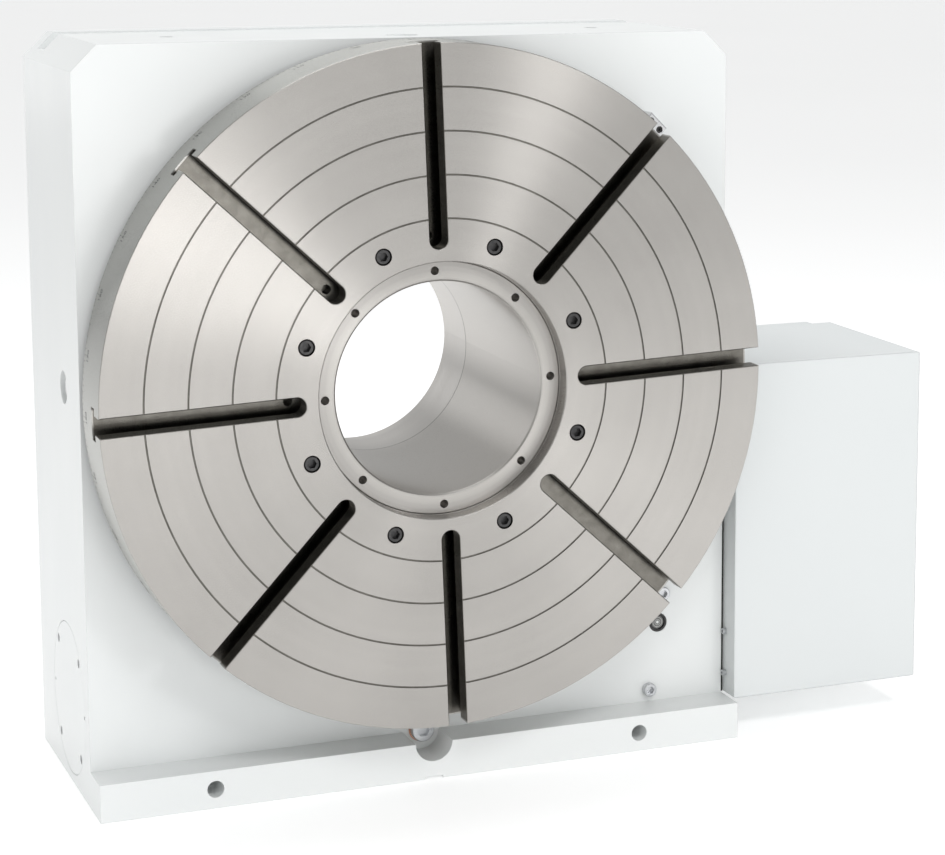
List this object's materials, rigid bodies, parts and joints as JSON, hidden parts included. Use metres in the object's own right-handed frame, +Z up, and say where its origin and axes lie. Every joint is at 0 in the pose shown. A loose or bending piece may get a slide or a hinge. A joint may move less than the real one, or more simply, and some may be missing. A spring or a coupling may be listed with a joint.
{
  "type": "rotary table",
  "caption": "Vertical rotary table with a T-slotted faceplate, large through bore, worm drive, hydraulic clamp and a servo motor under a side cover.",
  "frame": {"origin": "on the base face, straight below the spindle axis, in the plane of the worm", "axes": "+Z up from the base face; -Y out of the faceplate towards the operator; +X along the worm towards the motor"},
  "size_m": [1.06, 0.38, 0.88],
  "materials": {
    "anodised_aluminium": "natural anodised",
    "bearing_steel": "ground bearing steel",
    "black_plastic": "moulded",
    "black_rubber": "matte",
    "black_steel": "black oxide",
    "bright_steel": "bright turned",
    "bronze": "cut gear bronze",
    "cage_brass": "machined brass",
    "cast_iron_raw": "machined grey iron",
    "copper": "soft copper",
    "cover_paint": "fine satin powder coat on sheet steel",
    "ground_steel": "fine turned and ground",
    "housing_paint": "satin white paint on a machined iron casting",
    "motor_black": "black coated cast aluminium",
    "sight_glass": "clear, polished",
    "turned_iron": "face-turned, bright concentric tool marks",
    "zinc_steel": "zinc plated"
  },
  "bodies": {
    "housing": {"housing": "housing_paint", "rear_cover": "housing_paint", "rear_cover_screws": "black_steel", "front_seal": "black_rubber", "rear_seal": "black_rubber", "main_bearing_outer_ring": "bearing_steel", "main_bearing_screws": "black_steel", "brake_ring": "cast_iron_raw", "brake_cylinder": "cast_iron_raw", "brake_screws": "black_steel", "worm_end_cover": "housing_paint", "worm_end_cover_screws": "black_steel", "worm_bearing_cups": "bearing_steel", "drive_plate": "cast_iron_raw", "drive_plate_screws": "black_steel", "motor_body": "motor_black", "motor_end_cap": "black_plastic", "motor_screws": "black_steel", "motor_cover_front": "cover_paint", "motor_cover_rear": "cover_paint", "motor_cover_gasket": "black_rubber", "motor_cover_seal": "black_rubber", "motor_cover_bracket": "zinc_steel", "motor_cover_screws": "zinc_steel", "clamp_valve_block": "anodised_aluminium", "clamp_valve_coil": "black_plastic", "home_sensor": "bright_steel", "oil_sight_bezel": "bright_steel", "oil_sight_glass": "sight_glass", "oil_plugs": "zinc_steel", "front_port_plug": "zinc_steel", "front_port_washer": "copper", "side_port_plug": "bright_steel", "index_block": "bright_steel", "fitting_screws": "black_steel", "cable_sockets": "zinc_steel", "clamp_oil_inlet": "cage_brass"},
    "table": {"faceplate": "turned_iron", "faceplate_screws": "black_steel", "spindle": "ground_steel", "spindle_flange_screws": "black_steel", "rear_sleeve": "ground_steel", "rear_sleeve_screws": "black_steel", "main_bearing_inner_ring": "bearing_steel", "worm_wheel": "bronze", "worm_wheel_screws": "black_steel", "brake_disc": "bearing_steel", "brake_disc_screws": "black_steel", "home_dog": "bearing_steel"},
    "bearing_cage": {"main_bearing_rollers": "bearing_steel", "main_bearing_cage": "cage_brass"},
    "worm": {"worm_shaft": "bearing_steel", "worm_bearing_cones": "bearing_steel", "worm_bearing_rollers": "bearing_steel", "worm_locknuts": "black_steel", "driven_gear": "bearing_steel"},
    "motor_rotor": {"motor_shaft": "bearing_steel", "motor_pinion": "bearing_steel"},
    "brake_piston": {"brake_piston": "bearing_steel", "piston_seals": "black_rubber"}
  },
  "joints": [
    {"name": "table_spin", "type": "hinge", "parent": "housing", "child": "table", "pos_m": [0, 0, 0.48], "axis": [0, -1, 0], "continuous": true},
    {"name": "cage_spin", "type": "hinge", "parent": "housing", "child": "bearing_cage", "pos_m": [0, -0.06, 0.48], "axis": [0, -1, 0], "continuous": true},
    {"name": "worm_spin", "type": "hinge", "parent": "housing", "child": "worm", "pos_m": [0, 0, 0.102], "axis": [1, 0, 0], "continuous": true},
    {"name": "motor_spin", "type": "hinge", "parent": "housing", "child": "motor_rotor", "pos_m": [0.45, 0, 0.1755], "axis": [1, 0, 0], "continuous": true},
    {"name": "brake_slide", "type": "slide", "parent": "housing", "child": "brake_piston", "axis": [0, -1, 0], "range_m": [0, 0.0004], "stiffness_N_per_m": 20000}
  ],
  "couplings": [
    {"joint": "cage_spin", "follows": "table_spin", "ratio": 0.4863},
    {"joint": "worm_spin", "follows": "table_spin", "ratio": -120},
    {"joint": "motor_spin", "follows": "table_spin", "ratio": 160}
  ]
}
